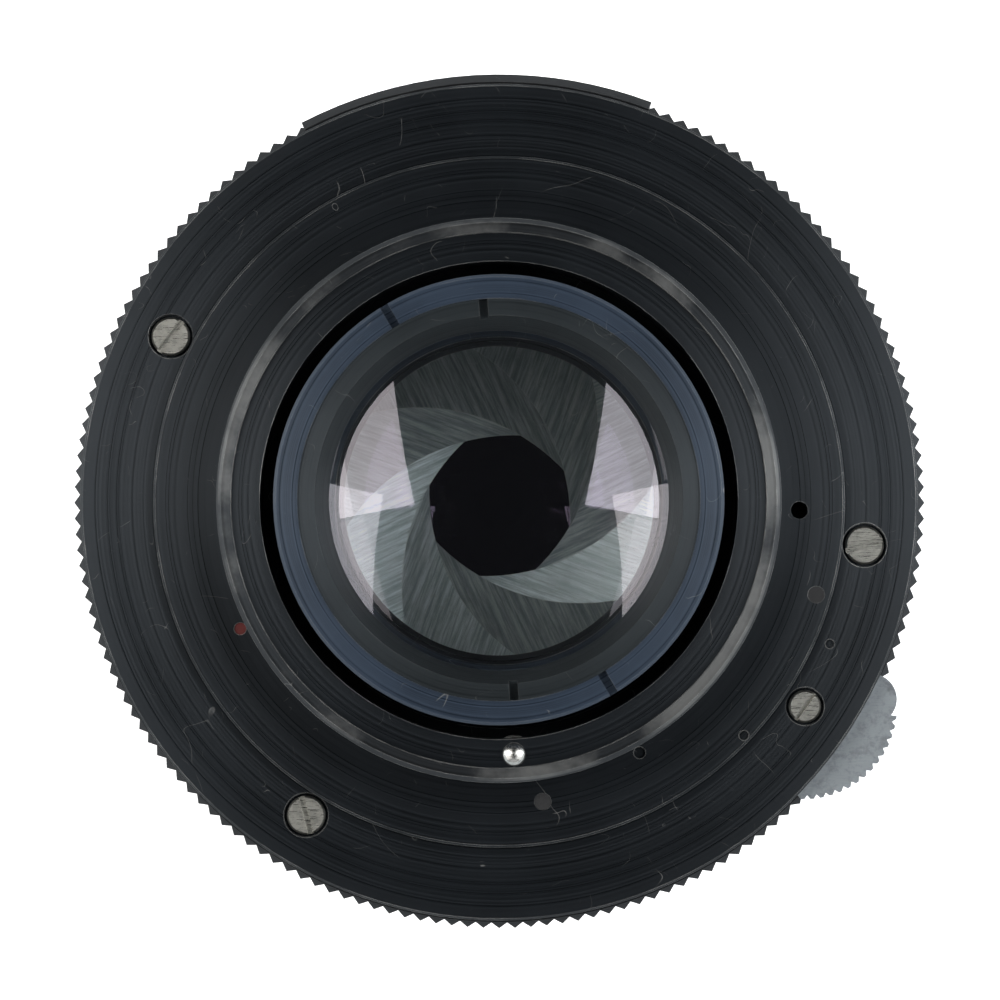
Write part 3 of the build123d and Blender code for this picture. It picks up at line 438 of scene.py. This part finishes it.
def coated_glass(name, index, sheen):
    """Optical glass. The coating colours what it reflects."""
    finish = Finish(name)
    finish.set(base_color=(1.0, 1.0, 1.0, 1.0), roughness=0.0, ior=index, transmission_weight=1.0)
    finish.set(specular_tint=(*sheen, 1.0))
    return finish.material


def dress(material, *nodes):
    for node in nodes:
        piece = frame["nodes"][node]
        piece.data.materials.clear()
        piece.data.materials.append(material)


black = black_anodised("black_anodised")
# the plate's edge wear is raised to also give painted highlights along the collar's edges, and the collar's
# end gets a painted sheen
black_plate = black_anodised("black_anodised_plate", roughness=0.38, wear=1.3, painted_collar_sheen=True)
black_ring = black_anodised("black_anodised_ring", colour=(0.0065, 0.0066, 0.0070), roughness=0.42, wear=0.25)
blue_cell = black_anodised("steel_blue_cell", colour=(0.017, 0.024, 0.036), roughness=0.34, wear=0.35)
dark_cell = black_anodised("dark_retainer", colour=(0.0095, 0.0115, 0.0125), roughness=0.52, wear=0.15)
steel = bright_metal("screw_steel", (0.56, 0.55, 0.50), 0.30, wear=0.6)
pin_steel = bright_metal("pin_steel", (0.66, 0.65, 0.62), 0.22, wear=0.3)
bare = bright_metal("bare_aluminium", (0.36, 0.39, 0.41), 0.42, wear=0.6)
brass = brass_metal("turned_brass")

dress(black_plate, "mount_plate", "fixed_barrel", "mechanism_plate")
dress(black_ring, "aperture_ring", "index_ring", "focus_grip", "front_barrel", "name_ring", "nut_retainer")
dress(black, "lens_barrel", "iris_base", "iris_drive_ring", "front_cell", "front_retainer", "front_spacer",
      "rear_spacer")
dress(blue_cell, "rear_cell")
dress(dark_cell, "rear_retainer")
dress(steel, "mount_screws", "lever_pivot_screw", "index_ring_screws", "focus_ring_screws", "rocker_axle",
      "rocker_bracket", "stop_down_rocker", "iris_snap_ring", "pin_spring")
dress(pin_steel, "aperture_pin")
dress(bare, "mode_lever")
dress(brass, "guide_keys", "helicoid_nut")
dress(paint("plug_black", (0.012, 0.012, 0.013)), "plate_plugs")
dress(paint("index_red", (0.12, 0.006, 0.004)), "red_index_dot")
dress(paint("mark_white", (0.75, 0.75, 0.72)), "index_marks")
for number, painted_light_share in enumerate(BLADE_PAINTED_LIGHT):
    pivot = FIRST_PIVOT + PIVOT_STEP * number
    dress(blade_steel("blade_steel_%d" % (number + 1), pivot, painted_light_share), "iris_blade_%d" % (number + 1))

# ---- glass -----------------------------------------------------------------------------------
rear_coat = coated_glass("rear_glass", 1.717, sheen=(0.92, 0.86, 0.93))
inner_coat = coated_glass("inner_glass", 1.63, sheen=(0.34, 0.28, 0.42))
for name, make, nodes, material in (
        ("rear_glass_element", REAR_GLASS, ("rear_element",), rear_coat),
        ("rear_cemented_pair", REAR_DOUBLET, ("rear_doublet_crown", "rear_doublet_flint"), inner_coat),
        ("front_cemented_pair", FRONT_DOUBLET, ("front_doublet_flint", "front_doublet_crown"), inner_coat),
        ("front_glass_element", FRONT_GLASS, ("front_element",), rear_coat)):
    glass = ground_glass(name, **make)
    glass.data.materials.append(material)
    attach(glass, "optics")
    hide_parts(*nodes)


# ---- screw threads -----------------------------------------------------------------------------
CREST = 0.08                # flat at the foot of a groove, as a share of the pitch


def ridges(low, high, start, depth, pitch):
    """Corners of a row of V grooves from low to high. Depth is towards the axis, or outward if negative."""
    points = []
    height = low
    while height + pitch <= high + 0.001:
        points += [(start, height + CREST * pitch), (start - depth, height + 0.5 * pitch)]
        height += pitch
    return points + [(start, height)]


def cut(piece, cutter):
    """Takes one closed shape from another and clears the cutter away."""
    deselect()
    piece.select_set(True)
    bpy.context.view_layer.objects.active = piece
    bpy.ops.object.modifier_add(type="BOOLEAN")
    boolean = piece.modifiers[-1]
    boolean.operation, boolean.solver, boolean.object = "DIFFERENCE", "EXACT", cutter
    bpy.ops.object.modifier_apply(modifier=boolean.name)
    deselect()
    cutter.select_set(True)
    bpy.ops.object.delete()


def threaded_collar():
    """The mount plate with its screw thread cut into the collar."""
    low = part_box("red_index_dot")[1].z / MM + COLLAR_THREAD_START
    high = collar_end / MM - COLLAR_THREAD_STOP
    radius, depth, pitch = COLLAR_THREAD["radius"], COLLAR_THREAD["depth"], COLLAR_THREAD["pitch"]
    outside = radius + 0.6
    deselect()
    plain = frame["nodes"]["mount_plate"]
    plain.select_set(True)
    bpy.context.view_layer.objects.active = plain
    bpy.ops.object.duplicate()
    plate = bpy.context.object
    plate.name = "threaded_mount_plate"
    del plate["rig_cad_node"]
    bpy.ops.mesh.customdata_custom_splitnormals_clear()
    bpy.ops.object.mode_set(mode="EDIT")
    bpy.ops.mesh.select_all(action="SELECT")
    bpy.ops.mesh.remove_doubles(threshold=WELD)
    bpy.ops.object.mode_set(mode="OBJECT")
    outline = [(outside, low)] + ridges(low, high, radius + 0.02, depth, pitch)
    outline += [(outside, outline[-1][1])]
    cutter = turn_profile("thread_cutter", outline, steps=160, close=True)
    cut(plate, cutter)
    deselect()
    plate.select_set(True)
    bpy.context.view_layer.objects.active = plate
    bpy.ops.object.shade_smooth_by_angle(angle=SMOOTH_BELOW)
    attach(plate, "mount")
    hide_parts("mount_plate")


def threaded_front():
    """Front tube, with the filter thread inside its rim."""
    radius, depth, pitch = FILTER_THREAD["radius"], FILTER_THREAD["depth"], FILTER_THREAD["pitch"]
    low, high = (corner.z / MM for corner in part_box("front_barrel"))
    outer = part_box("front_barrel")[1].x / MM
    chamfered = outer - TUBE_CHAMFER
    bore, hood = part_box("iris_base")[1].x / MM, radius - 0.7
    step, flange = low + FILTER_THREAD_DEPTH, high - TUBE_FLANGE
    outline = [
        (bore, high), (chamfered, high), (outer, high - TUBE_CHAMFER), (outer, low + TUBE_CHAMFER),
        (chamfered, low), (radius + 0.2, low), (radius - depth, low + 0.5)]
    outline += ridges(low + 0.6, step - 0.6, radius - depth, -depth, pitch)
    outline += [(radius, step - 0.4), (radius, step), (hood, step), (hood, flange), (bore, flange)]
    tube = turn_profile("threaded_front_barrel", outline, steps=128, close=True)
    tube.data.materials.append(black_ring)
    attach(tube, "optics")
    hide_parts("front_barrel")


threaded_collar()
threaded_front()


# ---- numbers on the scales -----------------------------------------------------------------------
def number_row(name, body, slot, entries, material, radius, height, tall):
    """Row of raised numbers round a ring, from (angle, words) pairs, with their tops towards the front."""
    rows = []
    for angle, words in entries:
        deselect()
        bpy.ops.object.text_add(location=(0, 0, 0))
        text = bpy.context.object
        text.data.body = words
        text.data.align_x, text.data.align_y = "CENTER", "CENTER"
        text.data.size, text.data.extrude, text.data.resolution_u = tall * MM, NUMBER_RAISED * MM, 3
        bpy.ops.object.convert(target="MESH")
        out, along = Vector((cos(radians(angle)), sin(radians(angle)), 0)), Vector((0, 0, -1))
        right = along.cross(out)
        spot = radius * MM * out + Vector((0, 0, height * MM))
        facing = Matrix((right, along, out)).transposed().to_4x4()
        text.matrix_world = Matrix.Translation(spot) @ facing
        bpy.ops.object.transform_apply(location=True, rotation=True, scale=True)
        rows.append(text)
    deselect()
    for text in rows:
        text.select_set(True)
    bpy.context.view_layer.objects.active = rows[0]
    bpy.ops.object.join()
    piece = bpy.context.object
    piece.name = name
    bpy.ops.object.mode_set(mode="EDIT")
    bpy.ops.mesh.select_all(action="SELECT")
    bpy.ops.mesh.remove_doubles(threshold=WELD)
    bpy.ops.mesh.normals_make_consistent(inside=False)
    bpy.ops.object.mode_set(mode="OBJECT")
    piece.data.materials.clear()
    piece.data.materials.append(material)
    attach(piece, body)


number_white = paint("number_white", (0.75, 0.75, 0.72))
number_amber = paint("number_amber", (0.70, 0.30, 0.04))
distance_places = [(INDEX_ANGLE - turn, words) for turn, words in DISTANCES]
depth_places = [(INDEX_ANGLE + side * turn, words) for turn, words in DEPTH_STOPS for side in (-1, 1)]
number_row("aperture_numbers", "aperture_ring", "aperture_ring", APERTURE_STOPS, number_white, **APERTURE_ROW)
number_row("distance_numbers", "focus", "focus_grip", distance_places, number_white, **DISTANCE_ROW)
number_row("depth_numbers", "mount", "index_ring", depth_places, number_amber, **DEPTH_ROW)


# ---- stage ----------------------------------------------------------------------------------------
def white_floor():
    """Glowing white floor, with painted shade where the lens stands on it."""
    deselect()
    bpy.ops.mesh.primitive_plane_add(size=3.0, location=(0, 0, rim_low))
    floor = bpy.context.object
    floor.name = "floor"
    finish = Finish("floor_white")
    out, _ = finish.radius_and_height(finish.place())
    # painted shade: a dark disc on the floor under the lens, where the floor neither glows nor shows white
    floor_outside_painted_shade = finish.band(out, LENS_PAINTED_SHADE_R - SHADE_EDGE, LENS_PAINTED_SHADE_R)
    finish.drive(finish.mix(floor_outside_painted_shade, (0.002, 0.002, 0.002), (0.9, 0.9, 0.9)), "Base Color")
    finish.set(specular_ior_level=0.0, roughness=0.9, emission_color=(1.0, 1.0, 1.0, 1.0))
    finish.drive(finish.math("MULTIPLY", floor_outside_painted_shade, FLOOR_GLOW), "Emission Strength")
    floor.data.materials.append(finish.material)


def softbox(name, azimuth, lean, wide, low, high, power, colour):
    """Panel that leans over the lens from the zenith by an angle. Wide is the angle it spans, low and
    high are its ends along the level edge."""
    out = Vector((cos(radians(azimuth)), sin(radians(azimuth)), 0))
    along = Vector((-out.y, out.x, 0)) if out.x > 0 else Vector((out.y, -out.x, 0))
    middle = radians(lean)
    data = bpy.data.lights.new(name, "AREA")
    data.shape = "RECTANGLE"
    data.size, data.size_y = high - low, 2 * PANEL_AWAY * tan(radians(wide / 2))
    data.energy = power * pi * data.size * data.size_y
    data.color = colour
    lamp = bpy.data.objects.new(name, data)
    bpy.context.scene.collection.objects.link(lamp)
    centre = PANEL_AWAY * (sin(middle) * out + cos(middle) * Vector((0, 0, 1)))
    lamp.location = centre + (high + low) / 2 * along
    lamp.rotation_euler = (-centre).to_track_quat("-Z", "Y").to_euler()


def pale_room():
    """White behind the lens; to everything else, pale walls under a dark ceiling."""
    world = bpy.data.worlds.new("studio")
    bpy.context.scene.world = world
    world.use_nodes = True
    air = world.node_tree
    backdrop, room = air.nodes["Background"], air.nodes.new("ShaderNodeBackground")
    backdrop.inputs["Color"].default_value = (1.0, 1.0, 1.0, 1.0)
    room.inputs["Color"].default_value = ROOM_COLOUR
    direction, upright = air.nodes.new("ShaderNodeTexCoord"), air.nodes.new("ShaderNodeSeparateXYZ")
    wall = air.nodes.new("ShaderNodeMapRange")
    for label, value in (("From Min", WALL_TOP), ("From Max", WALL_FOOT), ("To Min", WALL_DARK),
                         ("To Max", WALL_PALE)):
        wall.inputs[label].default_value = value
    air.links.new(direction.outputs["Generated"], upright.inputs[0])
    air.links.new(upright.outputs["Z"], wall.inputs["Value"])
    air.links.new(wall.outputs["Result"], room.inputs["Strength"])
    seen, blend = air.nodes.new("ShaderNodeLightPath"), air.nodes.new("ShaderNodeMixShader")
    air.links.new(seen.outputs["Is Camera Ray"], blend.inputs[0])
    air.links.new(room.outputs[0], blend.inputs[1])
    air.links.new(backdrop.outputs[0], blend.inputs[2])
    air.links.new(blend.outputs[0], air.nodes["World Output"].inputs["Surface"])


def overhead_camera():
    """Looks down on the collar, with the top of the view towards +Y."""
    data = bpy.data.cameras.new("camera")
    camera = bpy.data.objects.new("camera", data)
    bpy.context.scene.collection.objects.link(camera)
    target = Vector((AIM_RIGHT, 0, collar_end))
    camera.location = target + CAMERA_DISTANCE * Vector((sin(TILT_RIGHT), -sin(TILT_DOWN), cos(TILT_DOWN)))
    backwards = (camera.location - target).normalized()
    upwards = backwards.cross(Vector((1, 0, 0))).normalized()
    across = upwards.cross(backwards)
    camera.rotation_euler = Matrix((across, upwards, backwards)).transposed().to_euler()
    data.sensor_width = SENSOR
    data.lens = SENSOR * CAMERA_DISTANCE / FIELD
    data.clip_start = 0.01
    bpy.context.scene.camera = camera


white_floor()
for side, azimuth, colour in SIDES:
    for kind, sizes in SIDE_PANELS:
        softbox(side + kind, azimuth, colour=colour, **sizes)
softbox("front_panel", **FRONT_PANEL)
pale_room()
overhead_camera()
bpy.context.scene.view_settings.view_transform = "Standard"
